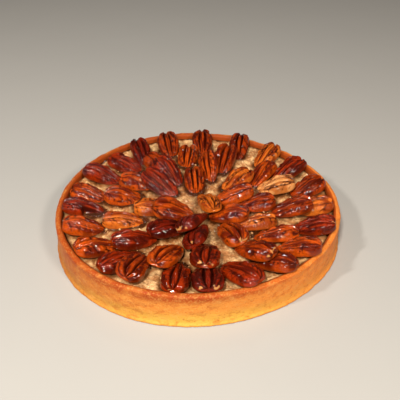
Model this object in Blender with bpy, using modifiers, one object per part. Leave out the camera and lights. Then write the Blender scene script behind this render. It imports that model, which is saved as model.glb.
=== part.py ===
"""Pecan tart: a straight-sided pastry crust, a pale nut filling and rings of glazed pecan halves.

The crust stands on the XY plane with its axis on Z. Azimuths run anticlockwise from +X, seen from
above, so -90 degrees is the front. The halves of a ring point at the centre, tip inwards. They are
laid ring by ring from the rim to the middle, and each one is lowered until it lies on what is
already there, so the rings overlap like shingles.
"""

import itertools
import math
import random

import bmesh
import bpy
from mathutils import Matrix, Vector, noise
from mathutils.bvhtree import BVHTree

MM = 0.001

# Crust
CRUST_RADIUS = 110.0 * MM
CRUST_HEIGHT = 26.5 * MM
WALL_THICKNESS = 4.8 * MM
BASE_THICKNESS = 5.0 * MM
FOOT_ROUNDING = 0.7 * MM
CORNER_ROUNDING = 1.6 * MM
RIM_SHOULDER = 1.9 * MM
RIM_ANGLES = (180.0, 135.0, 90.0, 45.0, 0.0)
RIM_ROOT = 1.5 * MM
CRUST_STEPS = 72
WALL_UNEVENNESS = 0.45 * MM
RIM_UNEVENNESS = 0.6 * MM
CRUST_WAVE = 24.0 * MM
RIM_WAVE_OFFSET = Vector((7.0, 0.0, 3.0))
RIM_DIP = 2.0 * MM
DIP_AZIMUTH = -45.0
DIP_SPREAD = 35.0
FOOT_FLARE = 1.6 * MM
FLARE_HEIGHT = 3.0 * MM

# The baked tart is not quite round: three soft lobes, one of them at this azimuth
LOBE_COUNT = 3
LOBE_RISE = 1.5 * MM
LOBE_AZIMUTH = -8.0

# Filling. The powers say how close to the wall it climbs, stops sinking and stops being crumbly.
FILLING_BELOW_RIM = 5.4 * MM
FILLING_STEPS = 60
FILLING_RINGS = 11
EDGE_CLIMB = 0.9 * MM
EDGE_CLIMB_POWER = 12
MIDDLE_SINK = 3.5 * MM
MIDDLE_SINK_POWER = 4
CRUMB_RELIEF = 0.8 * MM
CRUMB_RELIEF_POWER = 8
CRUMB_SIZE = 9.0 * MM
CRUMB_ROUGHNESS = 0.8
CRUMB_DETAIL_RATIO = 2.2
CRUMB_OCTAVES = 3

# Air left between pieces that touch
GAP = 0.3 * MM
REST_GAP = 0.36 * MM

# Pecan half
PECAN_LENGTH = 35.0 * MM
PECAN_HEIGHT = 9.9 * MM
PECAN_SPREAD = 0.07
PECAN_SIDES = 12
PECAN_STATIONS = 9
WIDEST_STATION = 0.60
AXIS_SHARE = 0.36
TIP_THINNESS = 0.48
END_NOTCH = 2.2 * MM
NOTCH_STATION = 0.75
PECAN_CRAGS = 0.5 * MM
PECAN_CRAG_SIZE = 6.0 * MM
PECAN_GRAIN_RANGE = 50.0
UNDERSIDE_SHARE = 0.1

# How full the half's outline and its thickness stay towards the tip and towards the wide end
OUTLINE_POWERS = (1.8, 3.0)
THICKNESS_POWERS = (2.2, 3.0)

# Right half of a pecan's cross-section, over its ridge, groove, lobe and flat underside,
# as shares of its half width and of its height
PECAN_SECTION = (
    (0.00, 0.90),
    (0.26, 0.66),
    (0.52, 1.00),
    (0.84, 0.78),
    (1.00, 0.36),
    (0.66, 0.00),
    (0.00, 0.05),
)

# Rings of halves. Each half is the azimuth of its wide end in degrees, the radius of that end in
# millimetres, its turn away from the centre line in degrees, and its width in millimetres.
RIM_RING = (
    (-176, 106, -6, 18), (-161, 107, -11, 19), (-144, 108, -9, 20.5), (-130, 106, -14, 18),
    (-117, 108, 4, 20), (-99, 106, 1, 20), (-86, 107, -3, 22), (-67, 110, 20, 21),
    (-51, 111, 25, 18), (-36, 111, 22, 18), (-20, 111, 9, 20), (-5, 108, 3, 19), (13, 108, 13, 20),
    (30, 108, 5, 19), (48, 108, 3, 18), (67, 108, 12, 18), (87, 109, 4, 18), (105, 109, -3, 19),
    (120.5, 107, -12, 17), (139, 102, 14, 19), (155.5, 106, 10, 19.5), (170, 104, -6, 19.5),
)
MIDDLE_RING = (
    (-162, 79, -12, 18), (-140, 84, -20, 19), (-111, 89, -9, 20), (-87, 90, -9, 21),
    (-56, 98, 19, 19), (-31, 91, 25, 20), (-8, 94, 10, 20), (14, 87, -15, 20), (37, 86, 14, 18),
    (69, 87, 5, 19), (94, 89, -9, 19), (123, 83, 11, 19), (152, 74, 17, 21), (172, 78, 7, 22),
)
INNER_RING = (
    (-176, 51, -2, 20), (-130, 59, -18, 19), (-91, 69, -9, 19), (-63, 74, -5, 19),
    (-23, 69, 30, 19), (2, 66, 9, 20), (41, 64, 1, 18), (78, 69, 12, 17), (123, 66, 8, 19),
    (139, 56, 2, 19),
)
HEART_RING = (
    (-98, 51, -18, 19), (-31, 50, 15, 19), (10, 50, -1, 19), (97, 49, 1, 17), (-160, 39, -22, 20),
)
CENTRE_HALF = (
    (-60, 30, -14, 17),
)

# Ways to lay a half: how far its wide end is tilted up past the lean at its azimuth and how far it
# rolls, in degrees, and how far it slides outwards and sideways, in millimetres. The two leans of a
# ring are those of a half whose wide end lies inside the wall and of one that rests on the rim.
RIM_LEANS = (5.0, 10.5)
INNER_LEANS = (7.0, 7.0)
LEAN_SWING = 4.5
RIM_TILTS = (0.0, 3.0)
RIM_ROLLS = (-14.0, 0.0, 14.0)
INNER_TILTS = (-4.0, 0.0, 4.0, 8.0)
INNER_ROLLS = (-30.0, -15.0, 0.0, 15.0, 30.0)
RIM_SLIDES = ((0.0, 0.0),)
INNER_SLIDES = ((0.0, 0.0), (0.0, -2.5), (0.0, 2.5), (-2.0, 0.0), (2.0, 0.0))
ROLL_RELUCTANCE = 0.05 * MM
RIM_OVERLAP = 5.0 * MM
WALL_CLEARANCE = 0.6 * MM
DROP_HEIGHT = 46.0 * MM
DROP_STEP = 1.2 * MM
DROP_HALVINGS = 3
NEIGHBOUR_REACH = 40.0 * MM
SEED = 11

INNER_RADIUS = CRUST_RADIUS - WALL_THICKNESS
FILLING_TOP = CRUST_HEIGHT - FILLING_BELOW_RIM


def clear_scene():
    """Removes whatever the scene holds, so that the model starts from nothing."""
    for item in list(bpy.data.objects):
        bpy.data.objects.remove(item, do_unlink=True)


def new_collection(name):
    """Makes a collection for the tart's pieces and links it to the scene."""
    collection = bpy.data.collections.new(name)
    bpy.context.scene.collection.children.link(collection)
    return collection


def principled(name, colour, roughness, coat=0.0):
    """Makes a Principled material, with a clear coat where the surface is glazed."""
    material = bpy.data.materials.new(name)
    material.use_nodes = True
    shader = material.node_tree.nodes["Principled BSDF"]
    shader.inputs["Base Color"].default_value = (*colour, 1.0)
    shader.inputs["Roughness"].default_value = roughness
    shader.inputs["Metallic"].default_value = 0.0
    shader.inputs["Coat Weight"].default_value = coat
    return material


def turned_body(name, profile, steps, collection):
    """Turns a profile of (radius, height) points about Z and returns the object, mesh applied."""
    mesh = bpy.data.meshes.new(name + "_profile")
    shape = bmesh.new()
    points = [shape.verts.new((radius, 0.0, height)) for radius, height in profile]
    for start, end in zip(points, points[1:]):
        shape.edges.new((start, end))
    shape.to_mesh(mesh)
    shape.free()
    guide = bpy.data.objects.new(name + "_profile", mesh)
    collection.objects.link(guide)
    screw = guide.modifiers.new("Turn", "SCREW")
    screw.axis = "Z"
    screw.angle = math.tau
    screw.steps = steps
    screw.render_steps = steps
    screw.use_merge_vertices = True
    screw.merge_threshold = 0.0001
    evaluated = guide.evaluated_get(bpy.context.evaluated_depsgraph_get())
    turned = bpy.data.meshes.new_from_object(evaluated)
    turned.name = name
    bpy.data.objects.remove(guide, do_unlink=True)
    body = bpy.data.objects.new(name, turned)
    collection.objects.link(body)
    return body


def finish(body, material, sharp_angle=math.radians(40.0)):
    """Gives a body its material and smooth shading with its real edges kept."""
    body.data.materials.append(material)
    body.data.shade_smooth()
    body.data.set_sharp_from_angle(angle=sharp_angle)


def roundness(azimuth):
    """Gives how the true radius at an azimuth in degrees compares with the round one."""
    return 1.0 + LOBE_RISE / CRUST_RADIUS * math.cos(math.radians(LOBE_COUNT * (azimuth - LOBE_AZIMUTH)))


def make_lobed(mesh):
    """Draws a turned body's radii in and out by the tart's three soft lobes."""
    for vertex in mesh.vertices:
        scale = roundness(math.degrees(math.atan2(vertex.co.y, vertex.co.x)))
        vertex.co.x *= scale
        vertex.co.y *= scale


def crust_profile():
    """Gives the crust's outline: along its floor, up the inner wall, over the rim and down outside."""
    rim_half = WALL_THICKNESS / 2.0
    rim_middle = CRUST_RADIUS - rim_half
    rim_base = CRUST_HEIGHT - RIM_SHOULDER
    profile = [
        (0.0, BASE_THICKNESS),
        (INNER_RADIUS - CORNER_ROUNDING, BASE_THICKNESS),
        (INNER_RADIUS, BASE_THICKNESS + CORNER_ROUNDING),
        (INNER_RADIUS, FILLING_TOP - RIM_ROOT),
    ]
    for angle in RIM_ANGLES:
        turn = math.radians(angle)
        profile.append((rim_middle + rim_half * math.cos(turn), rim_base + RIM_SHOULDER * math.sin(turn)))
    profile += [
        (CRUST_RADIUS, CRUST_HEIGHT * 0.5),
        (CRUST_RADIUS, FLARE_HEIGHT),
        (CRUST_RADIUS + FOOT_FLARE, FOOT_ROUNDING),
        (CRUST_RADIUS + FOOT_FLARE - FOOT_ROUNDING, 0.0),
        (0.0, 0.0),
    ]
    return profile


def rim_dip(azimuth):
    """Gives how far the rim, which baked lower at its front right, dips at an azimuth in degrees."""
    return RIM_DIP * math.exp(-(((azimuth - DIP_AZIMUTH) / DIP_SPREAD) ** 2))


def press_by_hand(mesh):
    """Makes the turned crust as uneven as pastry pressed into a ring: wavy wall, uneven rim."""
    for vertex in mesh.vertices:
        place = vertex.co
        radius = math.hypot(place.x, place.y)
        is_outside = radius > CRUST_RADIUS - WALL_THICKNESS / 2.0 and place.z > 0.0
        is_rim = place.z > FILLING_TOP
        outward = Vector((place.x, place.y, 0.0)).normalized()
        wave = noise.noise(place / CRUST_WAVE)
        if is_outside:
            place += outward * (wave * WALL_UNEVENNESS)
        if is_rim:
            share = (place.z - FILLING_TOP) / FILLING_BELOW_RIM
            rim_wave = RIM_UNEVENNESS * noise.noise(place / CRUST_WAVE + RIM_WAVE_OFFSET)
            place.z += share * (rim_wave - rim_dip(math.degrees(math.atan2(place.y, place.x))))


def build_crust(collection):
    """Builds the pastry case: a round floor and a straight wall with a softly rounded rim."""
    crust = turned_body("crust", crust_profile(), CRUST_STEPS, collection)
    press_by_hand(crust.data)
    make_lobed(crust.data)
    finish(crust, principled("baked_pastry", (0.62, 0.27, 0.06), 0.55))
    return crust


def filling_profile():
    """Gives the filling's outline, from the middle of its top out to the wall and down to the floor."""
    edge = INNER_RADIUS - GAP
    profile = []
    for ring in range(FILLING_RINGS + 1):
        share = ring / FILLING_RINGS
        climb = EDGE_CLIMB * share ** EDGE_CLIMB_POWER
        sink = MIDDLE_SINK * (1.0 - share ** MIDDLE_SINK_POWER)
        profile.append((edge * share, FILLING_TOP + climb - sink))
    floor = BASE_THICKNESS + GAP
    profile += [
        (edge, floor + CORNER_ROUNDING),
        (edge - CORNER_ROUNDING, floor),
        (0.0, floor),
    ]
    return profile


def crumble(mesh):
    """Raises and sinks the filling's top by a crumbly relief that dies out at the wall."""
    edge = INNER_RADIUS - GAP
    for vertex in mesh.vertices:
        place = vertex.co
        if place.z < FILLING_TOP - MIDDLE_SINK - MM:
            continue
        share = math.hypot(place.x, place.y) / edge
        relief = noise.fractal(place / CRUMB_SIZE, CRUMB_ROUGHNESS, CRUMB_DETAIL_RATIO, CRUMB_OCTAVES)
        place.z += CRUMB_RELIEF * relief * (1.0 - share ** CRUMB_RELIEF_POWER)


def build_filling(collection):
    """Builds the filling: one solid from the crust's floor up to its crumbly top."""
    filling = turned_body("filling", filling_profile(), FILLING_STEPS, collection)
    crumble(filling.data)
    make_lobed(filling.data)
    finish(filling, principled("almond_filling", (0.55, 0.36, 0.17), 0.6))
    return filling


def full_section():
    """Gives the pecan's whole cross-section, once round from the ridge, by mirroring its right half."""
    right = list(PECAN_SECTION)
    left = [(-across, up) for across, up in reversed(right[1:-1])]
    return right + left


def end_rounding(station, powers):
    """Gives how full the half is at a station from its tip, 0, to its wide end, 1."""
    tip_power, wide_power = powers
    if station < WIDEST_STATION:
        reach = (WIDEST_STATION - station) / WIDEST_STATION
        power = tip_power
    else:
        reach = (station - WIDEST_STATION) / (1.0 - WIDEST_STATION)
        power = wide_power
    return math.sqrt(max(0.0, 1.0 - reach ** power))


def pecan_mesh(name, length, width, height, grain):
    """Shapes a sphere into a pecan half that lies along X, wide end at +X, on its flat underside."""
    section = full_section()
    shape = bmesh.new()
    bmesh.ops.create_uvsphere(shape, u_segments=PECAN_SIDES, v_segments=PECAN_STATIONS, radius=1.0)
    for vertex in shape.verts:
        on_axis = math.hypot(vertex.co.x, vertex.co.y) < 1e-4
        angle = math.atan2(vertex.co.y, vertex.co.x) % math.tau
        side = round(angle / math.tau * PECAN_SIDES) % PECAN_SIDES
        across, up = (0.0, AXIS_SHARE) if on_axis else section[side]
        station = (1.0 + vertex.co.z) / 2.0
        half_width = width / 2.0 * end_rounding(station, OUTLINE_POWERS)
        thickness = height * min(1.0, TIP_THINNESS + (1.0 - TIP_THINNESS) * station / WIDEST_STATION)
        axis_height = thickness * AXIS_SHARE
        rise = thickness * (up - AXIS_SHARE) * end_rounding(station, THICKNESS_POWERS)
        depth = max(0.0, station - NOTCH_STATION) / (1.0 - NOTCH_STATION)
        notch = END_NOTCH * depth * (1.0 - abs(across))
        place = Vector((length * (station - 0.5) - notch, half_width * across, axis_height + rise))
        if not on_axis and up > UNDERSIDE_SHARE:
            crag = noise.noise(place / PECAN_CRAG_SIZE + grain)
            place += Vector((0.0, across, up)) * (PECAN_CRAGS * crag)
        vertex.co = place
    bmesh.ops.remove_doubles(shape, verts=shape.verts, dist=0.01 * MM)
    bmesh.ops.triangulate(shape, faces=shape.faces)
    bmesh.ops.recalc_face_normals(shape, faces=shape.faces)
    mesh = bpy.data.meshes.new(name)
    shape.to_mesh(mesh)
    shape.free()
    return mesh


def search_tree(mesh, matrix, swell=0.0):
    """Makes a tree of a mesh's faces, placed by a matrix and swollen along its normals."""
    points = [matrix @ (vertex.co + vertex.normal * swell) for vertex in mesh.vertices]
    faces = [tuple(polygon.vertices) for polygon in mesh.polygons]
    return BVHTree.FromPolygons(points, faces)


def is_on_rim(ring_half):
    """Tells whether a half's wide end rests on the rim, and not inside the wall."""
    _, radius, _, _ = ring_half
    return radius * MM > INNER_RADIUS


def pose(mesh, length, ring_half, tilt, roll, slide):
    """Gives the matrix of a half at height 0: its wide end at its place, pulled in from the rim's edge."""
    azimuth, radius, turn, _ = ring_half
    outward, sideways = slide
    azimuth += math.degrees(sideways / radius)
    radius += outward
    heading = math.radians(azimuth + turn)
    spot = math.radians(azimuth)
    wide_end = Vector((math.cos(spot), math.sin(spot), 0.0)) * (radius * MM)
    reach = length / 2.0 * math.cos(math.radians(tilt))
    middle = wide_end - Vector((math.cos(heading), math.sin(heading), 0.0)) * reach
    spin = (
        Matrix.Rotation(heading, 4, "Z")
        @ Matrix.Rotation(math.radians(-tilt), 4, "Y")
        @ Matrix.Rotation(math.radians(roll), 4, "X")
    )
    matrix = Matrix.Translation(middle) @ spin
    furthest = max(math.hypot(*(matrix @ vertex.co).xy) for vertex in mesh.vertices)
    limit = INNER_RADIUS + RIM_OVERLAP if is_on_rim(ring_half) else INNER_RADIUS - WALL_CLEARANCE
    over = furthest - roundness(azimuth) * limit
    if over > 0.0:
        matrix = Matrix.Translation(-middle.normalized() * over) @ matrix
    return matrix


def lower(mesh, matrix, neighbours):
    """Lowers a posed half until it is about to touch a neighbour and returns its matrix."""
    def touches(height):
        tree = search_tree(mesh, Matrix.Translation((0.0, 0.0, height)) @ matrix, REST_GAP)
        return any(tree.overlap(neighbour) for neighbour in neighbours)

    height = DROP_HEIGHT
    while not touches(height - DROP_STEP):
        height -= DROP_STEP
    step = DROP_STEP
    for _ in range(DROP_HALVINGS):
        step /= 2.0
        if not touches(height - step):
            height -= step
    return Matrix.Translation((0.0, 0.0, height)) @ matrix


def lay(mesh, length, ring_half, leans, ways, laid):
    """Tries the ways to lay a half and returns the matrix of the one that lies lowest."""
    best_score = math.inf
    best_matrix = None
    azimuth, _, _, _ = ring_half
    inside_lean, rim_lean = leans
    lean = rim_lean if is_on_rim(ring_half) else inside_lean
    lean_here = lean + LEAN_SWING * math.sin(math.radians(azimuth))
    for tilt, roll, slide in itertools.product(*ways):
        matrix = pose(mesh, length, ring_half, lean_here + tilt, roll, slide)
        middle = matrix.translation.xy
        neighbours = [tree for spot, tree in laid if (spot - middle).length < NEIGHBOUR_REACH]
        lowered = lower(mesh, matrix, neighbours)
        highest = max((lowered @ vertex.co).z for vertex in mesh.vertices)
        score = lowered.translation.z + highest + ROLL_RELUCTANCE * abs(roll)
        if score < best_score:
            best_score = score
            best_matrix = lowered
    return best_matrix


def beds_near(beds, ring_half):
    """Gives the crust's and filling's trees with the half's own place, so that they always count."""
    azimuth, radius, _, _ = ring_half
    spot = Vector((math.cos(math.radians(azimuth)), math.sin(math.radians(azimuth)))) * (radius * MM)
    return [(spot, tree) for tree in beds]


def build_ring(name, ring, leans, ways, laid, beds, draw, tones, collection):
    """Builds one ring of halves, each its own object, and adds each to what is already laid."""
    for index, ring_half in enumerate(ring, start=1):
        _, _, _, width = ring_half
        length = PECAN_LENGTH * (1.0 + draw.uniform(-PECAN_SPREAD, PECAN_SPREAD))
        height = PECAN_HEIGHT * (1.0 + draw.uniform(-PECAN_SPREAD, PECAN_SPREAD))
        grain = Vector([draw.uniform(0.0, PECAN_GRAIN_RANGE) for _ in range(3)])
        half_name = f"{name}_{index:02d}"
        mesh = pecan_mesh(half_name, length, width * MM, height, grain)
        matrix = lay(mesh, length, ring_half, leans, ways, laid + beds_near(beds, ring_half))
        half = bpy.data.objects.new(half_name, mesh)
        half.matrix_world = matrix
        collection.objects.link(half)
        finish(half, draw.choice(tones))
        laid.append((matrix.translation.xy, search_tree(mesh, matrix)))


def main():
    """Builds the tart: crust, filling, and the halves from the rim to the middle."""
    clear_scene()
    collection = new_collection("pecan_tart")
    crust = build_crust(collection)
    filling = build_filling(collection)
    tones = (
        principled("pecan_red_brown", (0.20, 0.035, 0.012), 0.3, coat=0.6),
        principled("pecan_dark", (0.09, 0.014, 0.008), 0.3, coat=0.6),
        principled("pecan_orange_brown", (0.33, 0.085, 0.02), 0.35, coat=0.5),
    )
    draw = random.Random(SEED)
    beds = [search_tree(piece.data, Matrix.Identity(4)) for piece in (crust, filling)]
    laid = []
    rim_ways = (RIM_TILTS, RIM_ROLLS, RIM_SLIDES)
    inner_ways = (INNER_TILTS, INNER_ROLLS, INNER_SLIDES)
    for name, ring, leans, ways in (
        ("pecan_rim", RIM_RING, RIM_LEANS, rim_ways),
        ("pecan_middle", MIDDLE_RING, INNER_LEANS, inner_ways),
        ("pecan_inner", INNER_RING, INNER_LEANS, inner_ways),
        ("pecan_heart", HEART_RING, INNER_LEANS, inner_ways),
        ("pecan_centre", CENTRE_HALF, INNER_LEANS, inner_ways),
    ):
        build_ring(name, ring, leans, ways, laid, beds, draw, tones, collection)


main()
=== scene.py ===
"""Pecan tart: the baked crust, the crumbly filling and the glazed pecan halves, as they look.

Every piece lies where its solid lies. Lengths are in metres, the tart stands on the XY plane with
its axis on Z, and azimuths run anticlockwise from +X seen from above, so -90 degrees is the front.
"""

import logging
import math
import random
from dataclasses import dataclass, field
from enum import Enum

import bmesh
import bpy
import numpy as np
from mathutils import Matrix, Vector, noise
from mathutils.bvhtree import BVHTree


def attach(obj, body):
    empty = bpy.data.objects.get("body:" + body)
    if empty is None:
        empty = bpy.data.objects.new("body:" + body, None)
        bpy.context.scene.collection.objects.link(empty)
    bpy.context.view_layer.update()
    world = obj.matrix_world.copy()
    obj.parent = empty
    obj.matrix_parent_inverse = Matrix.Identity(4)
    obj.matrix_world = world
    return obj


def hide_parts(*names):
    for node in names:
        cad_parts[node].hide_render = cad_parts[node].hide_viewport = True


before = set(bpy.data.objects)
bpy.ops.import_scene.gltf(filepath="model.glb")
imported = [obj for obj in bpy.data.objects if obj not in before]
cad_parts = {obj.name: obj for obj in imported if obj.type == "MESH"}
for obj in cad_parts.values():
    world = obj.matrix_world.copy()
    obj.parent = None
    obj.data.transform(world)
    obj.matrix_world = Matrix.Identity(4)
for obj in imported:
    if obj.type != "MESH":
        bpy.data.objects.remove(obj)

MM = 0.001
SOLID_REACH = 0.97
UNDERSIDE_LEANS = (30.0, 18.0, 12.0)
BODY = "root"
DOWN = Vector((0.0, 0.0, -1.0))

log = logging.getLogger("pecan_tart")

Colour = tuple[float, float, float]
Outline = list[tuple[float, float]]


class Slot(Enum):
    """The record's material slots."""

    CRUST = "crust"
    FILLING = "filling"
    PECAN = "pecan"


class Roast(Enum):
    """How dark a pecan half is roasted."""

    CHAR = "char"
    MAHOGANY = "mahogany"
    RUSSET = "russet"
    CHESTNUT = "chestnut"
    AMBER = "amber"
    BARE = "bare"


def share_of(value: float) -> float:
    """Keeps a value between 0 and 1."""
    return min(1.0, max(0.0, value))


def blend(low: float, high: float, value: float) -> float:
    """Gives a smooth step from 0 at low to 1 at high.

    Args:
        low: Where the step starts.
        high: Where the step ends.
        value: Where it is read.

    Returns:
        A share from 0 to 1.
    """
    share = share_of((value - low) / (high - low))
    return share * share * (3.0 - 2.0 * share)


def hill(distance: float, width: float) -> float:
    """Gives a round hill of height 1 at distance 0, about width wide on each side."""
    return math.exp(-((distance / width) ** 2))


def crease(place: Vector, sharpness: float) -> float:
    """Gives 1 along wandering thin lines and 0 between them.

    Args:
        place: The point, in units of the lines' spacing.
        sharpness: How thin the lines are.

    Returns:
        A share from 0 to 1.
    """
    return max(0.0, 1.0 - abs(noise.noise(place)) * sharpness) ** 1.5


def new_piece(name: str, shape: bmesh.types.BMesh) -> bpy.types.Object:
    """Makes a smooth-shaded object of a bmesh and links it, at the origin.

    Args:
        name: The piece's name.
        shape: Its mesh, which is freed.

    Returns:
        The object.
    """
    mesh = bpy.data.meshes.new(name)
    shape.to_mesh(mesh)
    shape.free()
    mesh.shade_smooth()
    piece = bpy.data.objects.new(name, mesh)
    bpy.context.scene.collection.objects.link(piece)
    return piece


def mark(piece: bpy.types.Object, name: str, values: list[float]) -> None:
    """Stores one number for each vertex, for the materials to read.

    Args:
        piece: The piece whose mesh holds the numbers.
        name: The attribute's name.
        values: The numbers, in the vertices' order.
    """
    attribute = piece.data.attributes.new(name, "FLOAT", "POINT")
    attribute.data.foreach_set("value", np.asarray(values, dtype=np.float32))


def mount(piece: bpy.types.Object, slot: Slot, *nodes: str) -> None:
    """Lets a piece ride on the tart, standing for the nodes that it replaces.

    Args:
        piece: The finished piece.
        slot: The record's material slot, which is not used.
        nodes: The solids that it stands for.
    """
    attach(piece, BODY)
    if nodes:
        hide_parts(*nodes)
    log.info("%s: %d faces", piece.name, len(piece.data.polygons))


SOCKETS = {
    "roughness": "Roughness",
    "specular": "Specular IOR Level",
    "coat": "Coat Weight",
    "coat_roughness": "Coat Roughness",
    "coat_index": "Coat IOR",
}


class Shading:
    """A material under construction: one Principled shader and what feeds it."""

    def __init__(self, name: str) -> None:
        """Starts a material with a bare Principled shader.

        Args:
            name: The material's name.
        """
        self.material = bpy.data.materials.new(name)
        self.material.use_nodes = True
        self.tree = self.material.node_tree
        self.shader = self.tree.nodes["Principled BSDF"]
        self.place = self.tree.nodes.new("ShaderNodeTexCoord").outputs["Object"]

    def set(self, **values: float) -> None:
        """Sets the shader's own sockets, by the names that SOCKETS gives them."""
        for name, value in values.items():
            self.shader.inputs[SOCKETS[name]].default_value = value

    def join(self, output: bpy.types.NodeSocket, name: str) -> None:
        """Feeds an output to one of the shader's sockets."""
        self.tree.links.new(output, self.shader.inputs[name])

    def stretched(self, scale: Colour) -> bpy.types.NodeSocket:
        """Gives the object coordinates, stretched.

        Args:
            scale: The stretch along each axis.

        Returns:
            The coordinates.
        """
        mapping = self.tree.nodes.new("ShaderNodeMapping")
        mapping.inputs["Scale"].default_value = scale
        self.tree.links.new(self.place, mapping.inputs["Vector"])
        return mapping.outputs["Vector"]

    def grain(
        self,
        size: float,
        detail: float = 3.0,
        roughness: float = 0.55,
        distortion: float = 0.0,
        place: bpy.types.NodeSocket | None = None,
    ) -> bpy.types.NodeSocket:
        """Gives a noise whose features are about a size across.

        Args:
            size: The features' size in metres.
            detail: How many finer layers it has.
            roughness: How strong the finer layers are.
            distortion: How far it is warped.
            place: The coordinates, object coordinates unless given.

        Returns:
            The noise, from 0 to 1.
        """
        node = self.tree.nodes.new("ShaderNodeTexNoise")
        node.inputs["Scale"].default_value = 1.0 / size
        node.inputs["Detail"].default_value = detail
        node.inputs["Roughness"].default_value = roughness
        node.inputs["Distortion"].default_value = distortion
        self.tree.links.new(place or self.place, node.inputs["Vector"])
        return node.outputs["Fac"]

    def attribute(self, name: str) -> bpy.types.NodeSocket:
        """Gives the number that each vertex stores.

        Args:
            name: The name that it is stored under.

        Returns:
            The number.
        """
        node = self.tree.nodes.new("ShaderNodeAttribute")
        node.attribute_name = name
        return node.outputs["Fac"]

    def axis(self, name: str) -> bpy.types.NodeSocket:
        """Gives one of the place's coordinates.

        Args:
            name: X, Y or Z.

        Returns:
            The coordinate.
        """
        node = self.tree.nodes.new("ShaderNodeSeparateXYZ")
        self.tree.links.new(self.place, node.inputs["Vector"])
        return node.outputs[name]

    def span(
        self, value: bpy.types.NodeSocket, low: float, high: float, start: float = 0.0, end: float = 1.0
    ) -> bpy.types.NodeSocket:
        """Maps a value smoothly from low to high onto start to end.

        Args:
            value: The value.
            low: Where it starts.
            high: Where it ends.
            start: What it gives at low and below.
            end: What it gives at high and above.

        Returns:
            The mapped value.
        """
        node = self.tree.nodes.new("ShaderNodeMapRange")
        node.interpolation_type = "SMOOTHSTEP"
        node.inputs["From Min"].default_value = low
        node.inputs["From Max"].default_value = high
        node.inputs["To Min"].default_value = start
        node.inputs["To Max"].default_value = end
        self.tree.links.new(value, node.inputs["Value"])
        return node.outputs["Result"]

    def mix(
        self,
        share: bpy.types.NodeSocket,
        first: bpy.types.NodeSocket | Colour,
        second: bpy.types.NodeSocket | Colour,
    ) -> bpy.types.NodeSocket:
        """Mixes two colours.

        Args:
            share: How much of the second shows, from 0 to 1.
            first: A colour, or what gives it.
            second: A colour, or what gives it.

        Returns:
            The mixed colour.
        """
        node = self.tree.nodes.new("ShaderNodeMix")
        node.data_type = "RGBA"
        self.tree.links.new(share, node.inputs["Factor"])
        for name, colour in (("A", first), ("B", second)):
            socket = next(s for s in node.inputs if s.name == name and s.type == "RGBA")
            if isinstance(colour, tuple):
                socket.default_value = (*colour, 1.0)
            else:
                self.tree.links.new(colour, socket)
        return next(s for s in node.outputs if s.type == "RGBA")

    def over(
        self,
        tone: bpy.types.NodeSocket | Colour,
        colour: Colour,
        value: bpy.types.NodeSocket,
        low: float,
        high: float,
        share: float = 1.0,
    ) -> bpy.types.NodeSocket:
        """Lays a colour over a tone, from none where a value is low to a share where it is high.

        Args:
            tone: What lies below.
            colour: What lies over it.
            value: What decides where.
            low: Where the colour starts to show.
            high: Where it shows most.
            share: How much of it shows there, from 0 to 1.

        Returns:
            The new tone.
        """
        return self.mix(self.span(value, low, high, 0.0, share), tone, colour)

    def relief(
        self, height: bpy.types.NodeSocket, depth: float, under: bpy.types.NodeSocket | None = None
    ) -> bpy.types.NodeSocket:
        """Gives a bumped normal.

        Args:
            height: The relief, from 0 to 1.
            depth: How deep the relief is, in metres.
            under: A coarser bumped normal that this one lies on.

        Returns:
            The normal.
        """
        node = self.tree.nodes.new("ShaderNodeBump")
        node.inputs["Distance"].default_value = depth
        self.tree.links.new(height, node.inputs["Height"])
        if under:
            self.tree.links.new(under, node.inputs["Normal"])
        return node.outputs["Normal"]


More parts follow.
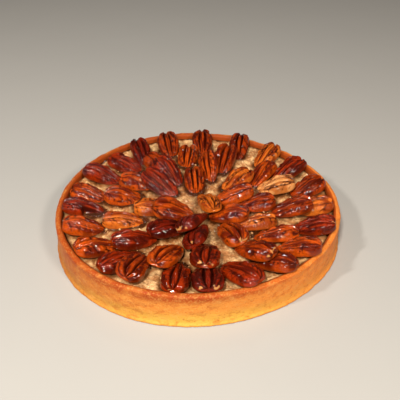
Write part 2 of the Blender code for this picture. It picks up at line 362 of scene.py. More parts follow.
@dataclass(frozen=True)
class PastryFinish:
    """Baked shortcrust: gold low on the wall, orange above, rust-red at the rim, brown inside.

    It browns towards the left and reddens towards the right.
    """

    gold: Colour = (0.601, 0.339, 0.052)
    orange: Colour = (0.580, 0.212, 0.036)
    rust: Colour = (0.308, 0.046, 0.006)
    foot: Colour = (0.385, 0.100, 0.020)
    pale: Colour = (0.585, 0.277, 0.073)
    inside: Colour = (0.277, 0.046, 0.006)
    speck: Colour = (0.123, 0.035, 0.009)
    side: Colour = (0.690, 0.188, 0.028)
    gold_from: float = 5.0 * MM
    gold_top: float = 14.0 * MM
    orange_top: float = 17.0 * MM
    rust_top: float = 23.5 * MM
    foot_bottom: float = 0.2 * MM
    foot_top: float = 1.8 * MM
    foot_share: float = 0.8
    brown_from: float = 5.0 * MM
    brown_to: float = -132.0 * MM
    brown_share: float = 0.85
    side_from: float = 0.0
    side_to: float = 100.0 * MM
    side_share: float = 0.8
    cloud_size: float = 14.0 * MM
    smear_size: float = 5.5 * MM
    smear_stretch: Colour = (1.0, 1.0, 1.7)
    fine_size: float = 1.1 * MM
    speck_size: float = 1.7 * MM
    smear_depth: float = 0.32 * MM
    fine_depth: float = 0.32 * MM

    def material(self) -> bpy.types.Material:
        """Builds the material, which reads the crust's 'inside' marks.

        Returns:
            The material.
        """
        paint = Shading("baked_pastry")
        height, sideways = paint.axis("Z"), paint.axis("X")
        cloud = paint.grain(self.cloud_size, detail=4.0, distortion=0.4)
        drawn = paint.stretched(self.smear_stretch)
        smear = paint.grain(self.smear_size, detail=4.0, distortion=0.5, place=drawn)
        fine = paint.grain(self.fine_size, detail=2.0)
        specks = paint.grain(self.speck_size, detail=1.0)
        tone = paint.over(self.gold, self.orange, height, self.gold_from, self.gold_top)
        tone = paint.over(tone, self.rust, height, self.orange_top, self.rust_top)
        tone = paint.over(tone, self.rust, sideways, self.brown_from, self.brown_to, self.brown_share)
        tone = paint.over(tone, self.side, sideways, self.side_from, self.side_to, self.side_share)
        tone = paint.over(tone, self.orange, cloud, 0.45, 0.72, 0.45)
        tone = paint.over(tone, self.pale, smear, 0.52, 0.70, 0.40)
        tone = paint.over(tone, self.rust, smear, 0.48, 0.34, 0.38)
        tone = paint.over(tone, self.pale, fine, 0.52, 0.66, 0.40)
        tone = paint.over(tone, self.rust, fine, 0.42, 0.28, 0.45)
        tone = paint.over(tone, self.foot, height, self.foot_top, self.foot_bottom, self.foot_share)
        tone = paint.over(tone, self.speck, specks, 0.76, 0.80, 0.65)
        tone = paint.over(tone, self.inside, paint.attribute("inside"), 0.0, 1.0)
        paint.join(tone, "Base Color")
        paint.join(paint.span(fine, 0.3, 0.7, 0.42, 0.60), "Roughness")
        coarse = paint.relief(smear, self.smear_depth)
        paint.join(paint.relief(fine, self.fine_depth, coarse), "Normal")
        paint.set(specular=0.10)
        return paint.material


@dataclass(frozen=True)
class FillingFinish:
    """Moist, crumbly nut filling: tan with cream crumbs, browned and shining where glaze has run, and
    darkened with painted shade beside the halves and the wall.
    """

    tan: Colour = (0.385, 0.162, 0.058)
    cream: Colour = (0.731, 0.462, 0.216)
    brown: Colour = (0.185, 0.065, 0.017)
    # Near-black: real syrup, with painted shade where the filling meets the halves and the wall.
    syrup_and_shade: Colour = (0.046, 0.011, 0.002)
    cloud_size: float = 7.0 * MM
    grit_size: float = 1.4 * MM
    grit_depth: float = 0.35 * MM
    dust_size: float = 0.5 * MM
    dust_depth: float = 0.08 * MM

    def material(self) -> bpy.types.Material:
        """Builds the material, which reads the filling's 'crumb' mark and its mark of glaze and painted
        shade.

        Returns:
            The material.
        """
        paint = Shading("nut_filling")
        glaze_and_shade = paint.attribute("glaze_and_shade")
        cloud = paint.grain(self.cloud_size, detail=4.0, distortion=0.6)
        grit = paint.grain(self.grit_size, detail=3.0, roughness=0.65)
        tone = paint.over(self.tan, self.cream, cloud, 0.42, 0.60, 0.8)
        tone = paint.over(tone, self.brown, grit, 0.52, 0.36, 0.55)
        tone = paint.over(tone, self.cream, paint.attribute("crumb"), 0.1, 0.8, 0.8)
        # Painted shade: brown, then near-black, where the mark of glaze and shade is high, beside the
        # halves and the wall.
        tone = paint.over(tone, self.brown, glaze_and_shade, 0.05, 0.45, 0.7)
        tone = paint.over(tone, self.syrup_and_shade, glaze_and_shade, 0.28, 0.85)
        paint.join(tone, "Base Color")
        paint.join(paint.span(glaze_and_shade, 0.1, 0.7, 0.52, 0.16), "Roughness")
        dust = paint.grain(self.dust_size, detail=1.0)
        paint.join(paint.relief(dust, self.dust_depth, paint.relief(grit, self.grit_depth)), "Normal")
        paint.join(paint.span(glaze_and_shade, 0.05, 0.5, 0.10, 0.9), "Coat Weight")
        paint.set(specular=0.2, coat_roughness=0.06, coat_index=1.42)
        return paint.material


@dataclass(frozen=True)
class PecanSkin:
    """Roasted pecan skin under clear glaze, with pale broken flesh, and grooves and creases near-black:
    partly the grooves' own dark skin, partly painted shade.
    """

    roast: Roast
    light: Colour
    deep: Colour
    edge: Colour
    # Near-black, for the grooves' own dark skin and the painted shade in grooves, folds and furrows.
    groove: Colour = (0.034, 0.003, 0.001)
    flesh: Colour = (0.424, 0.181, 0.054)
    blotch_size: float = 7.0 * MM
    vein_size: float = 1.3 * MM
    vein_depth: float = 0.22 * MM
    wave_size: float = 2.6 * MM
    wave_depth: float = 0.45 * MM
    glaze_size: float = 2.9 * MM
    glaze_depth: float = 0.36 * MM

    def material(self) -> bpy.types.Material:
        """Builds the material, which reads the half's 'streak', 'groove', 'flesh' and 'low' marks.

        Returns:
            The material.
        """
        paint = Shading("pecan_" + self.roast.value)
        blotch = paint.grain(self.blotch_size)
        vein = paint.grain(self.vein_size, roughness=0.6)
        tone = paint.over(self.deep, self.light, paint.attribute("streak"), 0.25, 0.60)
        tone = paint.over(tone, self.deep, blotch, 0.50, 0.36, 0.40)
        tone = paint.over(tone, self.deep, vein, 0.50, 0.34, 0.55)
        tone = paint.over(tone, self.edge, paint.attribute("low"), 0.35, 1.0, 0.35)
        # Painted shade: the groove mark darkens grooves, folds and furrow seams towards near-black, over
        # the grooves' own darker skin.
        tone = paint.over(tone, self.groove, paint.attribute("groove"), 0.10, 0.85)
        tone = paint.over(tone, self.flesh, paint.attribute("flesh"), 0.35, 0.75)
        paint.join(tone, "Base Color")
        paint.join(paint.span(vein, 0.3, 0.7, 0.34, 0.50), "Roughness")
        wave = paint.relief(paint.grain(self.wave_size, detail=2.0), self.wave_depth)
        paint.join(paint.relief(vein, self.vein_depth, wave), "Normal")
        glaze = paint.grain(self.glaze_size, detail=0.0)
        paint.join(paint.relief(glaze, self.glaze_depth), "Coat Normal")
        paint.set(specular=0.02, coat=0.70, coat_roughness=0.04, coat_index=1.42)
        return paint.material


SKINS = (
    PecanSkin(Roast.CHAR, (0.135, 0.007, 0.001), (0.036, 0.002, 0.0005), (0.135, 0.011, 0.001)),
    PecanSkin(Roast.MAHOGANY, (0.225, 0.016, 0.001), (0.068, 0.004, 0.0005), (0.225, 0.028, 0.002)),
    PecanSkin(Roast.RUSSET, (0.370, 0.048, 0.002), (0.112, 0.009, 0.001), (0.360, 0.062, 0.003)),
    PecanSkin(Roast.CHESTNUT, (0.265, 0.028, 0.001), (0.072, 0.005, 0.0005), (0.290, 0.045, 0.002)),
    PecanSkin(Roast.AMBER, (0.480, 0.108, 0.010), (0.220, 0.030, 0.003), (0.470, 0.110, 0.010)),
    PecanSkin(Roast.BARE, (0.580, 0.240, 0.075), (0.340, 0.095, 0.018), (0.460, 0.160, 0.030)),
)


@dataclass
class Crust:
    """The pastry case: a flat floor and a straight, hand-pressed wall with a rounded rim.

    It is slightly out of round, and its rim dips at the front right. Azimuths are in degrees.
    """

    radius: float = 110.0 * MM
    height: float = 26.5 * MM
    wall: float = 4.8 * MM
    floor: float = 5.0 * MM
    corner: float = 1.6 * MM
    foot: float = 0.7 * MM
    shoulder: float = 1.9 * MM
    rim_steps: int = 12
    flare: float = 1.6 * MM
    flare_height: float = 3.0 * MM
    filling_below_rim: float = 5.4 * MM
    lobe_count: int = 3
    lobe_rise: float = 1.5 * MM
    lobe_azimuth: float = -8.0
    wall_unevenness: float = 0.45 * MM
    rim_unevenness: float = 0.6 * MM
    wave: float = 24.0 * MM
    rim_wave_offset: Vector = field(default_factory=lambda: Vector((7.0, 0.0, 3.0)))
    rim_dip: float = 2.0 * MM
    dip_azimuth: float = -45.0
    dip_spread: float = 35.0
    dent: float = 0.34 * MM
    dent_size: float = 5.5 * MM
    nick: float = 0.4 * MM
    nick_size: float = 5.0 * MM
    nick_start: float = 0.1
    steps: int = 360
    spacing: float = 0.9 * MM

    @property
    def inner_radius(self) -> float:
        """The wall's inner radius."""
        return self.radius - self.wall

    @property
    def filling_top(self) -> float:
        """The height that the filling reaches at the wall."""
        return self.height - self.filling_below_rim

    def roundness(self, azimuth: float) -> float:
        """Gives how the true radius at an azimuth in radians compares with the round one."""
        turn = self.lobe_count * (azimuth - math.radians(self.lobe_azimuth))
        return 1.0 + self.lobe_rise / self.radius * math.cos(turn)

    def outline(self) -> Outline:
        """Gives the profile, along the floor, up the inner wall, over the rim and down outside.

        Returns:
            Radius and height of its points.
        """
        half = self.wall / 2.0
        rim_base = self.height - self.shoulder
        points = [
            (0.0, self.floor),
            (self.inner_radius - self.corner, self.floor),
            (self.inner_radius, self.floor + self.corner),
        ]
        for step in range(self.rim_steps + 1):
            turn = math.pi * (1.0 - step / self.rim_steps)
            across = self.radius - half + half * math.cos(turn)
            points.append((across, rim_base + self.shoulder * math.sin(turn)))
        points += [
            (self.radius, self.flare_height * 1.6),
            (self.radius + self.flare * 0.25, self.flare_height * 0.9),
            (self.radius + self.flare * 0.85, self.foot * 1.8),
            (self.radius + self.flare, self.foot),
            (self.radius + self.flare - self.foot * 0.3, self.foot * 0.3),
            (self.radius + self.flare - self.foot, 0.0),
            (0.0, 0.0),
        ]
        return points

    def press(self, shape: bmesh.types.BMesh) -> list[float]:
        """Makes the turned case uneven, as pastry pressed into a ring by hand is.

        Args:
            shape: The turned case, which is changed.

        Returns:
            For each vertex, how far it belongs to the browned inner wall, from 0 to 1.
        """
        inside = []
        for vertex in shape.verts:
            place = vertex.co.copy()
            radius = math.hypot(place.x, place.y)
            outward = Vector((place.x, place.y, 0.0)).normalized()
            middle = self.radius - self.wall / 2.0
            outer = blend(middle - MM, middle + MM, radius) * blend(0.0, 0.3 * MM, place.z)
            rise = max(0.0, place.z - self.filling_top) / self.filling_below_rim
            wave = noise.noise(place / self.wave)
            dents = noise.fractal(place / self.dent_size, 1.0, 2.0, 3)
            moved = place + outward * (outer * (wave * self.wall_unevenness + dents * self.dent))
            rim_wave = noise.noise(moved / self.wave + self.rim_wave_offset)
            turn = math.degrees(math.atan2(place.y, place.x)) - self.dip_azimuth
            moved.z += rise * (self.rim_unevenness * rim_wave - self.rim_dip * hill(turn, self.dip_spread))
            moved.z += min(1.0, rise) * self.dent * dents
            low = blend(self.flare_height, 0.0, place.z) * outer
            nicks = max(0.0, noise.noise(place / self.nick_size + self.rim_wave_offset) - self.nick_start)
            moved -= outward * (low * nicks * self.nick * 2.0)
            scale = self.roundness(math.atan2(moved.y, moved.x))
            vertex.co = Vector((moved.x * scale, moved.y * scale, moved.z))
            browned = blend(middle - 0.2 * MM, middle - 1.5 * MM, radius)
            inside.append(browned * blend(self.floor, self.floor + MM, place.z))
        return inside

    def build(self) -> bpy.types.Object:
        """Turns, presses and dresses the case.

        Returns:
            The piece.
        """
        shape = turned(self.outline(), self.steps, self.spacing)
        inside = self.press(shape)
        piece = new_piece("crust_pastry", shape)
        mark(piece, "inside", inside)
        piece.data.materials.append(PastryFinish().material())
        mount(piece, Slot.CRUST, "crust")
        return piece


def turned(outline: Outline, steps: int, spacing: float) -> bmesh.types.BMesh:
    """Turns a profile once round Z into a closed body.

    Args:
        outline: Radius and height of the profile's points, from axis to axis.
        steps: How many steps make the full turn.
        spacing: How far apart the points on the profile's long stretches are, at most.

    Returns:
        The body, with its faces pointing out.
    """
    shape = bmesh.new()
    points = []
    for (radius, height), (next_radius, next_height) in zip(outline, outline[1:]):
        pieces = max(1, math.ceil(math.hypot(next_radius - radius, next_height - height) / spacing))
        for part in range(pieces):
            share = part / pieces
            across = radius + (next_radius - radius) * share
            points.append(shape.verts.new((across, 0.0, height + (next_height - height) * share)))
    points.append(shape.verts.new((outline[-1][0], 0.0, outline[-1][1])))
    edges = [shape.edges.new(pair) for pair in zip(points, points[1:])]
    bmesh.ops.spin(
        shape,
        geom=points + edges,
        axis=(0.0, 0.0, 1.0),
        cent=(0.0, 0.0, 0.0),
        angle=math.tau,
        steps=steps,
        use_merge=True,
    )
    bmesh.ops.remove_doubles(shape, verts=shape.verts, dist=0.001 * MM)
    bmesh.ops.recalc_face_normals(shape, faces=shape.faces)
    return shape


@dataclass
class Pose:
    """Where a pecan half lies and how big it is, in its own frame: along, across and up."""

    middle: Vector
    along: Vector
    across: Vector
    up: Vector
    length: float
    width: float
    height: float

    def world(self, along: float, across: float, up: float) -> Vector:
        """Gives the place of a point of the half."""
        return self.middle + self.along * along + self.across * across + self.up * up

    @classmethod
    def of(cls, node: bpy.types.Object) -> "Pose":
        """Reads the pose from a half's solid.

        The long and thin axes of its surface come first. The flat underside then gives the
        true up: its faces are those that lean by less than UNDERSIDE_LEANS, in degrees, round
        by round. The extents give the sizes, and the solid reaches over SOLID_REACH of the
        length. The wide end points away from the tart's axis.

        Args:
            node: The half's solid.

        Returns:
            The pose.
        """
        corners = np.array([vertex.co for vertex in node.data.vertices])
        faces = corners[np.array([face.vertices[:] for face in node.data.polygons])]
        spans = np.cross(faces[:, 1] - faces[:, 0], faces[:, 2] - faces[:, 0])
        areas = np.linalg.norm(spans, axis=1)
        normals = spans / areas[:, None]
        centres = faces.mean(axis=1)
        centre = np.average(centres, axis=0, weights=areas)
        _, axes = np.linalg.eigh(np.cov((centres - centre).T, aweights=areas))
        up = axes[:, 0] * math.copysign(1.0, axes[2, 0])
        for lean in UNDERSIDE_LEANS:
            flat = normals @ -up > math.cos(math.radians(lean))
            up = -np.average(normals[flat], axis=0, weights=areas[flat])
            up /= np.linalg.norm(up)
        along = axes[:, 2] - up * (axes[:, 2] @ up)
        along *= math.copysign(1.0, along[:2] @ centre[:2]) / np.linalg.norm(along)
        across = np.cross(up, along)
        local = (corners - centre) @ np.array([along, across, up]).T
        low, high = local.min(axis=0), local.max(axis=0)
        length = (high[0] - low[0]) / SOLID_REACH
        shift = np.array([low[0] + length / 2.0, (low[1] + high[1]) / 2.0, low[2]])
        middle = centre + shift @ np.array([along, across, up])
        width, height = high[1] - low[1], high[2] - low[2]
        return cls(Vector(middle), Vector(along), Vector(across), Vector(up), length, width, height)


@dataclass
class Whim:
    """What chance gives one half.

    Its grain says where its relief starts, lopsided how far its grooves lie to one side, and
    its furrows hold a place and a strength for each furrow of its left and right lobe.
    """

    grain: Vector
    lopsided: float
    groove_depth: float
    bend: float
    furrows: dict[float, list[tuple[float, float]]]


@dataclass
class Spot:
    """A point of a half's surface and what runs through it.

    Station goes from the tip, 0, to the wide end, 1. Across and up are shares of half the width
    and of the height, width and rise say how full the half is there, and side is -1 or 1. The
    others say how far the spot belongs to the upper face, the opening end, a groove, the ridge,
    a lobe, a missing side, a fold, a fine wrinkle, a swelling and a furrow's seam.
    """

    station: float
    across: float
    up: float
    side: float
    width: float
    rise: float
    top: float
    opening: float
    groove: float
    ridge: float
    lobe: float
    missing: float
    fold: float
    fine: float
    swell: float
    seam: float


@dataclass
class PecanHalf:
    """One glazed pecan half: two fat wrinkled lobes, a ridge between two deep grooves, a split end."""

    node: str
    roast: Roast
    flesh: float = 0.0
    broken_side: int = 0
    sides: int = 80
    stations: int = 56
    widest: float = 0.60
    axis_share: float = 0.36
    tip_thinness: float = 0.50
    outline_powers: tuple[float, float] = (1.95, 3.0)
    thickness_powers: tuple[float, float] = (2.2, 3.0)
    groove_place: float = 0.27
    groove_width: float = 0.078
    groove_depth: float = 0.42
    groove_wander: float = 0.05
    ridge_drop: float = 0.09
    ridge_opening: float = 0.14
    ridge_width: float = 0.60
    broken_depth: float = 0.78
    furrow_places: tuple[float, ...] = (0.54, 0.80)
    furrow_wander: float = 0.06
    furrow_drift: float = 0.14
    furrow_depth: float = 0.85 * MM
    furrow_width: float = 0.050
    lump: float = 1.3 * MM
    lump_size: float = 5.5 * MM
    wrinkle: float = 1.0 * MM
    wrinkle_size: float = 3.9 * MM
    fine_wrinkle: float = 0.26 * MM
    fine_wrinkle_size: float = 1.9 * MM
    groove_notch: float = 4.6 * MM
    ridge_notch: float = 2.4 * MM
    lobe_notch: float = 0.3 * MM
    patch_size: float = 3.0 * MM
    edge_turn: float = 120.0

    def fullness(self, station: float, powers: tuple[float, float]) -> float:
        """Gives how full the half is at a station.

        Args:
            station: The station, from its tip, 0, to its wide end, 1.
            powers: How full it stays before and past its widest place.

        Returns:
            A share from 0 to 1.
        """
        if station < self.widest:
            reach = (self.widest - station) / self.widest
            return math.sqrt(max(0.0, 1.0 - reach ** powers[0]))
        reach = (station - self.widest) / (1.0 - self.widest)
        return math.sqrt(max(0.0, 1.0 - reach ** powers[1]))

    def section(self, turn: float) -> tuple[float, float]:
        """Gives the smooth section, before grooves, as shares of half width and height.

        Args:
            turn: The angle round the section from its top, in radians, -pi to pi.

        Returns:
            How far across and how far up.
        """
        side = math.copysign(1.0, turn)
        edge = math.radians(self.edge_turn)
        if abs(turn) <= edge:
            angle = math.pi / 2.0 * (abs(turn) / edge) ** 1.3
            above = (1.0 - self.axis_share) * math.cos(angle) ** 0.62
            return side * math.sin(angle), self.axis_share + above
        angle = math.pi / 2.0 * (abs(turn) - edge) / (math.pi - edge)
        return side * math.cos(angle) ** 0.6, self.axis_share * (1.0 - math.sin(angle) ** 0.5)

    def whim(self) -> Whim:
        """Draws what chance gives the half.

        Returns:
            What it gives.
        """
        draw = random.Random(self.node)
        return Whim(
            grain=Vector([draw.uniform(0.0, 60.0) for _ in range(3)]),
            lopsided=draw.uniform(-0.05, 0.05),
            groove_depth=self.groove_depth * draw.uniform(0.85, 1.15),
            bend=draw.uniform(-0.7, 0.7) * MM,
            furrows={
                side: [
                    (place + draw.uniform(-1.0, 1.0) * self.furrow_wander, draw.uniform(-0.2, 1.0))
                    for place in self.furrow_places
                ]
                for side in (-1.0, 1.0)
            },
        )

    def spot(self, ball: Vector, pose: Pose, whim: Whim) -> Spot:
        """Finds what runs through the half's surface at a point of the unit ball that it starts as.

        Args:
            ball: The point, with Z from the tip to the wide end.
            pose: Where the half lies and how big it is.
            whim: What chance gives it.

        Returns:
            The spot.
        """
        on_axis = math.hypot(ball.x, ball.y) < 1e-4
        turn = 0.0 if on_axis else math.atan2(ball.y, ball.x)
        station = (1.0 + ball.z) / 2.0
        across, up = (0.0, self.axis_share) if on_axis else self.section(turn)
        side = math.copysign(1.0, across)
        width = self.fullness(station, self.outline_powers)
        top = blend(self.axis_share * 0.7, self.axis_share * 1.6, up)
        wander = self.groove_wander * noise.noise(Vector((station * 5.0, side * 3.0, 0.0)) + whim.grain)
        centre = self.groove_place + whim.lopsided * side + wander
        groove = hill(abs(across) - centre, self.groove_width) * top * blend(0.02, 0.30, station)
        missing = 0.0
        if self.broken_side and across * self.broken_side > 0.0:
            missing = blend(0.52, 0.44, station) * blend(0.22, 0.40, abs(across))
        sideways = pose.width / 2.0 * width * across
        arc = Vector((
            (station * pose.length + abs(sideways) * 0.5) / self.wrinkle_size,
            across * 1.3,
            up * 1.3,
        ))
        drift = self.furrow_drift * noise.noise(Vector((station * 4.0, side, 7.0)) + whim.grain)
        seam = sum(
            max(0.0, share) * hill(abs(across) - place - drift, self.furrow_width)
            for place, share in whim.furrows[side]
        )
        return Spot(
            station=station,
            across=across,
            up=up,
            side=side,
            width=width,
            rise=self.fullness(station, self.thickness_powers),
            top=top,
            opening=blend(0.55, 0.95, station),
            groove=groove,
            ridge=hill(across, centre * self.ridge_width) * top,
            lobe=blend(centre, centre + 0.15, abs(across)) * top,
            missing=missing,
            fold=crease(arc + whim.grain, 4.5),
            fine=crease(arc * (self.wrinkle_size / self.fine_wrinkle_size) + whim.grain * 1.7, 3.0),
            swell=noise.noise(arc * (self.wrinkle_size / self.lump_size) + whim.grain * 2.3),
            seam=seam * top * blend(0.10, 0.35, station),
        )

    def place(self, spot: Spot, pose: Pose, whim: Whim) -> Vector:
        """Gives where a spot lies, with its grooves, relief and notches.

        Args:
            spot: The spot.
            pose: Where the half lies and how big it is.
            whim: What chance gives it.

        Returns:
            The place.
        """
        sunk = spot.groove * whim.groove_depth * (1.0 + 0.35 * spot.opening)
        sunk += spot.ridge * (self.ridge_drop + self.ridge_opening * spot.opening)
        sunk += self.broken_depth * spot.missing * spot.top
        full = min(1.0, self.tip_thinness + (1.0 - self.tip_thinness) * spot.station / self.widest)
        level = self.axis_share + (spot.up - sunk - self.axis_share) * spot.rise
        push = self.lump * spot.swell - self.wrinkle * spot.fold - self.fine_wrinkle * spot.fine
        push = spot.lobe * push - self.furrow_depth * spot.seam
        push -= spot.ridge * (self.fine_wrinkle * spot.fine + 0.5 * self.wrinkle * spot.fold)
        outward = Vector((spot.across * 0.8, spot.up - self.axis_share))
        outward = outward.normalized() if outward.length > 1e-6 else Vector((0.0, 1.0))
        notch = self.lobe_notch + (self.groove_notch - self.lobe_notch) * spot.groove
        notch += (self.ridge_notch - self.lobe_notch) * spot.ridge
        even = blend(0.0, 0.55, min(spot.width, spot.rise))
        notch = self.ridge_notch + (notch - self.ridge_notch) * even
        along = pose.length * (spot.station - 0.5) - notch * blend(0.70, 1.0, spot.station)
        sideways = pose.width / 2.0 * spot.width * spot.across
        sideways += outward.x * push * min(1.0, spot.width * 1.5)
        sideways += whim.bend * (1.0 - (2.0 * spot.station - 1.0) ** 2)
        up = pose.height * full * level + outward.y * push * min(1.0, spot.rise * 1.5)
        return pose.world(along, sideways, up)

    def marks(self, spot: Spot, place: Vector, whim: Whim) -> dict[str, float]:
        """Gives what the skin's material reads at a spot.

        Args:
            spot: The spot.
            place: Where it lies.
            whim: What chance gives the half.

        Returns:
            The marks by name.
        """
        # Painted shade: the groove mark adds folds, fine wrinkles and furrow seams, less on swellings, so
        # creases render near-black; the grooves' own skin is darker too.
        furrow = spot.lobe * (0.58 * spot.fold + 0.32 * spot.fine - 0.35 * spot.swell) + 0.65 * spot.seam
        streak = Vector((spot.station * 3.0, spot.across * 4.5, spot.side * 5.0)) + whim.grain * 1.3
        raw = blend(0.88, 0.985, spot.station) * blend(0.15, 0.6, spot.up) * (1.0 - spot.groove)
        patch = 0.04 + 1.3 * noise.noise(place / self.patch_size + whim.grain)
        return {
            "groove": share_of(spot.groove * (1.0 - 0.25 * spot.opening) + furrow),
            "flesh": share_of(max(0.0, raw * patch * self.flesh * 2.2) + spot.missing * 0.5),
            "low": 1.0 - spot.up,
            "streak": 0.5 + 0.9 * noise.noise(streak),
        }

    def build(self, skins: dict[Roast, bpy.types.Material]) -> bpy.types.Object:
        """Shapes, marks and dresses the half in the place of its solid.

        Args:
            skins: The materials of the roasts.

        Returns:
            The piece.
        """
        pose = Pose.of(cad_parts[self.node])
        whim = self.whim()
        shape = bmesh.new()
        bmesh.ops.create_uvsphere(shape, u_segments=self.sides, v_segments=self.stations, radius=1.0)
        marks = []
        for vertex in shape.verts:
            spot = self.spot(vertex.co, pose, whim)
            vertex.co = self.place(spot, pose, whim)
            marks.append(self.marks(spot, vertex.co, whim))
        bmesh.ops.recalc_face_normals(shape, faces=shape.faces)
        piece = new_piece(self.node + "_half", shape)
        for name in marks[0]:
            mark(piece, name, [values[name] for values in marks])
        piece.data.materials.append(skins[self.roast])
        mount(piece, Slot.PECAN, self.node)
        return piece


@dataclass
class Filling:
    """The crumbly filling, whose top rises a little to the halves and to the wall."""

    crust: Crust
    gap: float = 0.3 * MM
    middle_sink: float = 0.7 * MM
    steps: int = 420
    spacing: float = 0.75 * MM
    swell: float = 0.45 * MM
    swell_size: float = 9.0 * MM
    crumb: float = 1.15 * MM
    crumb_size: float = 2.2 * MM
    climb: float = 0.9 * MM
    climb_reach: float = 1.4 * MM
    loose_from_wall: float = 2.0 * MM
    bare_from_half: float = 0.3 * MM
    loose_from_half: float = 1.5 * MM
    glaze_and_shade_reach: float = 3.0 * MM
    wall_band: float = 2.0 * MM
    glaze_and_shade_patch: float = 6.0 * MM
    soaked_radius: float = 62.0 * MM
    soaked_share: float = 0.26
    profile_steps: int = 12

    def outline(self) -> Outline:
        """Gives the profile, from the middle of the top out to the wall and down to the floor.

        Returns:
            Radius and height of its points.
        """
        edge = self.crust.inner_radius - self.gap
        floor = self.crust.floor + self.gap
        shares = [step / self.profile_steps for step in range(self.profile_steps + 1)]
        points = [(edge * share, self.level(share)) for share in shares]
        points += [(edge, floor + self.crust.corner), (edge - self.crust.corner, floor), (0.0, floor)]
        return points

    def level(self, share: float) -> float:
        """Gives the height of the top at a share of the way to the wall."""
        return self.crust.filling_top - self.middle_sink * (1.0 - share ** 4)

    def build(self, halves: list[bpy.types.Object]) -> bpy.types.Object:
        """Turns, roughens, marks with glaze and painted shade, and dresses the filling.

        Args:
            halves: The pecan halves that lie on it.

        Returns:
            The piece.
        """
        tree = tree_of(halves)
        edge = self.crust.inner_radius - self.gap
        shape = turned(self.outline(), self.steps, self.spacing)
        glaze_and_shade_marks, crumbs = [], []
        for vertex in shape.verts:
            place = vertex.co
            radius = math.hypot(place.x, place.y)
            scale = self.crust.roundness(math.atan2(place.y, place.x))
            is_top = place.z > self.crust.filling_top - self.middle_sink - 0.5 * MM
            glaze_and_shade = crumb = 0.0
            if is_top:
                spot = Vector((place.x * scale, place.y * scale, place.z))
                _, _, _, distance = tree.find_nearest(spot)
                from_wall = edge - radius
                loose = blend(0.0, self.loose_from_wall, from_wall)
                clear = blend(self.bare_from_half, self.loose_from_half, distance)
                lumps = noise.fractal(spot / self.crumb_size, 0.9, 2.1, 4)
                crumb = max(0.0, lumps)
                place.z += self.swell * noise.noise(spot / self.swell_size) * loose
                place.z += self.crumb * lumps * loose * clear
                place.z += self.climb * (hill(distance, self.climb_reach) + hill(from_wall, self.wall_band))
                # Marks real glaze pooled in the middle, and beside the halves and the wall real glaze with
                # painted shade.
                patch = 0.75 + 0.5 * noise.noise(spot / self.glaze_and_shade_patch)
                glaze_and_shade = max(hill(distance, self.glaze_and_shade_reach), hill(from_wall, self.wall_band)) * patch
                glaze_and_shade += self.soaked_share * hill(radius, self.soaked_radius)
            place.x *= scale
            place.y *= scale
            glaze_and_shade_marks.append(min(1.0, glaze_and_shade))
            crumbs.append(min(1.0, crumb))
        piece = new_piece("filling_crumb", shape)
        mark(piece, "glaze_and_shade", glaze_and_shade_marks)
        mark(piece, "crumb", crumbs)
        piece.data.materials.append(FillingFinish().material())
        mount(piece, Slot.FILLING, "filling")
        return piece


def tree_of(pieces: list[bpy.types.Object]) -> BVHTree:
    """Gives one search tree of the faces of several pieces.

    Args:
        pieces: The pieces, which lie at the origin.

    Returns:
        The tree.
    """
    points: list[Vector] = []
    faces: list[tuple[int, ...]] = []
    for piece in pieces:
        start = len(points)
        points += [vertex.co.copy() for vertex in piece.data.vertices]
        faces += [tuple(start + index for index in face.vertices) for face in piece.data.polygons]
    return BVHTree.FromPolygons(points, faces)


@dataclass
class Crumbs:
    """Loose crumbs of the filling that lie between the halves, all in one piece.

    Behind says how many of those that would fall on the back half of the tart stay.
    """

    crust: Crust
    count: int = 300
    behind: float = 0.3
    drop: float = 30.0 * MM
    nearest: float = 52.0 * MM
    from_wall: float = 2.0 * MM
    smallest: float = 0.4 * MM
    largest: float = 1.4 * MM
    clearance: float = 0.5 * MM
    roughness: float = 0.35
    paleness: float = 0.25
    seed: int = 5

    def build(self, filling: bpy.types.Object, halves: list[bpy.types.Object]) -> bpy.types.Object:
        """Scatters, shapes and dresses the crumbs.

        Args:
            filling: What they lie on.
            halves: The pecan halves that they lie between.

        Returns:
            The piece.
        """
        ground, nuts = tree_of([filling]), tree_of(halves)
        draw = random.Random(self.seed)
        shape = bmesh.new()
        placed = 0
        while placed < self.count:
            radius = draw.uniform(self.nearest, self.crust.inner_radius - self.from_wall)
            turn = draw.uniform(-math.pi, math.pi)
            if turn > 0.0 and draw.random() > self.behind:
                continue
            height = self.crust.height + self.drop
            above = Vector((math.cos(turn) * radius, math.sin(turn) * radius, height))
            spot, _, _, _ = ground.ray_cast(above, DOWN)
            _, _, _, distance = nuts.find_nearest(spot)
            if distance < self.clearance or nuts.ray_cast(above, DOWN)[0] is not None:
                continue
            size = self.smallest + (self.largest - self.smallest) * draw.random() ** 2
            turned_by = draw.uniform(0.0, math.tau)
            twist = Matrix.Rotation(turned_by, 4, Vector((draw.random(), draw.random(), 1.0)))
            deep, high = draw.uniform(0.6, 1.0), draw.uniform(0.5, 0.9)
            squash = Matrix.Diagonal((size, size * deep, size * high, 1.0))
            lay = Matrix.Translation(spot) @ twist @ squash
            crumb = bmesh.ops.create_icosphere(shape, subdivisions=1, radius=1.0, matrix=lay)
            for vertex in crumb["verts"]:
                vertex.co += noise.noise_vector(vertex.co / size) * size * self.roughness
            placed += 1
        piece = new_piece("loose_crumbs", shape)
        count = len(piece.data.vertices)
        mark(piece, "glaze_and_shade", [0.0] * count)
        mark(piece, "crumb", [self.paleness] * count)
        piece.data.materials.append(filling.data.materials[0])
        mount(piece, Slot.FILLING)
        return piece


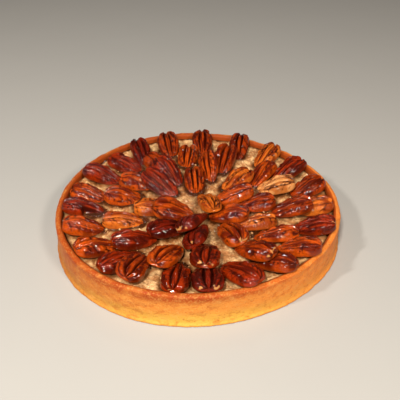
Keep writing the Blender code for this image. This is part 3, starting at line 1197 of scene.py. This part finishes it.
@dataclass
class Pecans:
    """All the halves, each with its roast and how much pale flesh its broken end shows."""

    usual: Roast = Roast.RUSSET
    roasts: dict[Roast, tuple[str, ...]] = field(
        default_factory=lambda: {
            Roast.CHAR: ("rim_19", "rim_07", "inner_03", "inner_02", "heart_01"),
            Roast.MAHOGANY: (
                "rim_01", "rim_04", "rim_06", "rim_08", "rim_11", "rim_14", "rim_20", "rim_21",
                "middle_02", "middle_04", "inner_09", "inner_10",
            ),
            Roast.CHESTNUT: (
                "rim_05", "rim_09", "rim_13", "rim_16", "rim_17", "rim_18", "middle_05", "middle_07",
                "middle_10", "middle_12", "inner_06",
            ),
            Roast.AMBER: (
                "rim_12", "rim_15", "middle_01", "inner_01", "inner_05", "inner_07", "centre_01",
            ),
            Roast.BARE: ("middle_08",),
        }
    )
    split_ends: tuple[str, ...] = (
        "rim_06", "rim_07", "rim_11", "rim_17", "rim_18", "middle_03", "middle_04", "middle_05",
        "inner_03", "inner_04", "heart_01", "heart_04",
    )
    broken_sides: dict[str, int] = field(default_factory=lambda: {"rim_01": 1})
    prefix: str = "pecan_"

    def roast_of(self, place: str) -> Roast:
        """Gives the roast of a half.

        Args:
            place: Its place in the rings, such as rim_04.

        Returns:
            The roast.
        """
        for roast, places in self.roasts.items():
            if place in places:
                return roast
        return self.usual

    def build(self) -> list[bpy.types.Object]:
        """Builds every half in the place of its solid.

        Returns:
            The pieces.
        """
        skins = {skin.roast: skin.material() for skin in SKINS}
        pieces = []
        for node in sorted(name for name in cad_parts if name.startswith(self.prefix)):
            place = node.removeprefix(self.prefix)
            half = PecanHalf(
                node=node,
                roast=self.roast_of(place),
                flesh=1.0 if place in self.split_ends else 0.0,
                broken_side=self.broken_sides.get(place, 0),
            )
            pieces.append(half.build(skins))
        return pieces


@dataclass(frozen=True)
class FloorFinish:
    """A plain pale studio floor."""

    colour: Colour = (0.385, 0.373, 0.354)
    shade: float = 0.97
    cloud_size: float = 60.0 * MM

    def material(self) -> bpy.types.Material:
        """Builds the material.

        Returns:
            The material.
        """
        paint = Shading("studio_floor")
        shaded = tuple(channel * self.shade for channel in self.colour)
        paint.join(paint.mix(paint.grain(self.cloud_size), self.colour, shaded), "Base Color")
        paint.set(roughness=0.8)
        return paint.material


@dataclass
class Lamp:
    """A rectangular softbox that looks at the tart, with angles in degrees and power in watts."""

    name: str
    azimuth: float
    elevation: float
    distance: float
    width: float
    height: float
    power: float
    colour: Colour = (1.0, 1.0, 1.0)

    def build(self, target: Vector) -> bpy.types.Object:
        """Sets the lamp up, aimed at a point.

        Args:
            target: The point.

        Returns:
            The lamp.
        """
        data = bpy.data.lights.new(self.name, "AREA")
        data.shape = "RECTANGLE"
        data.size = self.width
        data.size_y = self.height
        data.energy = self.power
        data.color = self.colour
        lamp = bpy.data.objects.new(self.name, data)
        azimuth, elevation = math.radians(self.azimuth), math.radians(self.elevation)
        back = Vector((
            math.cos(azimuth) * math.cos(elevation),
            math.sin(azimuth) * math.cos(elevation),
            math.sin(elevation),
        ))
        lamp.location = target + back * self.distance
        lamp.rotation_euler = back.to_track_quat("Z", "Y").to_euler()
        bpy.context.scene.collection.objects.link(lamp)
        return lamp


@dataclass
class Studio:
    """The floor, the lamps, the sky and the camera, with angles in degrees."""

    distance: float = 0.488
    elevation: float = 37.17
    pitch: float = 34.71
    yaw: float = 0.42
    roll: float = -0.33
    lens: float = 54.0
    sensor: float = 36.0
    nearest_seen: float = 10.0 * MM
    sky: Colour = (1.0, 0.91, 0.81)
    sky_strength: float = 0.07
    floor_size: float = 6.0
    lamps: tuple[Lamp, ...] = (
        Lamp("key", -104.0, 47.0, 1.1, 0.12, 0.12, 13.9, (1.0, 0.95, 0.86)),
        Lamp("right", -58.0, 40.0, 1.1, 0.18, 0.14, 7.3, (1.0, 0.91, 0.80)),
        Lamp("window", -150.0, 46.0, 1.2, 0.08, 0.12, 7.9, (1.0, 0.95, 0.88)),
        Lamp("back", 80.0, 52.0, 1.4, 0.10, 0.08, 0.8, (1.0, 0.92, 0.84)),
    )

    def build_floor(self) -> None:
        """Lays the floor."""
        shape = bmesh.new()
        bmesh.ops.create_grid(shape, x_segments=8, y_segments=8, size=self.floor_size / 2.0)
        floor = new_piece("studio_floor", shape)
        floor.data.materials.append(FloorFinish().material())

    def build_camera(self) -> None:
        """Sets the camera up at the viewing angle, rolled by a hair."""
        elevation, pitch = math.radians(self.elevation), math.radians(self.pitch)
        yaw, roll = math.radians(self.yaw), math.radians(self.roll)
        ahead = Vector((math.sin(yaw) * math.cos(pitch), math.cos(yaw) * math.cos(pitch), -math.sin(pitch)))
        right = Vector((math.cos(yaw), -math.sin(yaw), 0.0))
        over = right.cross(ahead)
        true_right = right * math.cos(roll) + over * math.sin(roll)
        true_over = over * math.cos(roll) - right * math.sin(roll)
        turn = Matrix((true_right, true_over, -ahead)).transposed().to_4x4()
        data = bpy.data.cameras.new("camera")
        data.lens = self.lens
        data.sensor_width = self.sensor
        data.clip_start = self.nearest_seen
        camera = bpy.data.objects.new("camera", data)
        place = Vector((0.0, -math.cos(elevation), math.sin(elevation))) * self.distance
        camera.matrix_world = Matrix.Translation(place) @ turn
        bpy.context.scene.collection.objects.link(camera)
        bpy.context.scene.camera = camera

    def build(self, target: Vector) -> None:
        """Sets everything up.

        Args:
            target: The point that the lamps look at.
        """
        world = bpy.data.worlds.new("studio")
        world.use_nodes = True
        sky = world.node_tree.nodes["Background"]
        sky.inputs["Color"].default_value = (*self.sky, 1.0)
        sky.inputs["Strength"].default_value = self.sky_strength
        bpy.context.scene.world = world
        bpy.context.scene.view_settings.view_transform = "Standard"
        self.build_floor()
        for lamp in self.lamps:
            lamp.build(target)
        self.build_camera()


def corners(box: tuple[Vector, Vector]) -> list[list[float]]:
    """Gives a box's two corners as plain lists."""
    return [list(corner) for corner in box]


def main() -> None:
    """Builds the tart and its studio."""
    logging.basicConfig(level=logging.INFO, format="%(message)s")
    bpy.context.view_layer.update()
    crust = Crust()
    crust.build()
    halves = Pecans().build()
    filling = Filling(crust).build(halves)
    Crumbs(crust).build(filling, halves)
    Studio().build(Vector((0.0, 0.0, crust.height)))


if __name__ == "__main__":
    main()
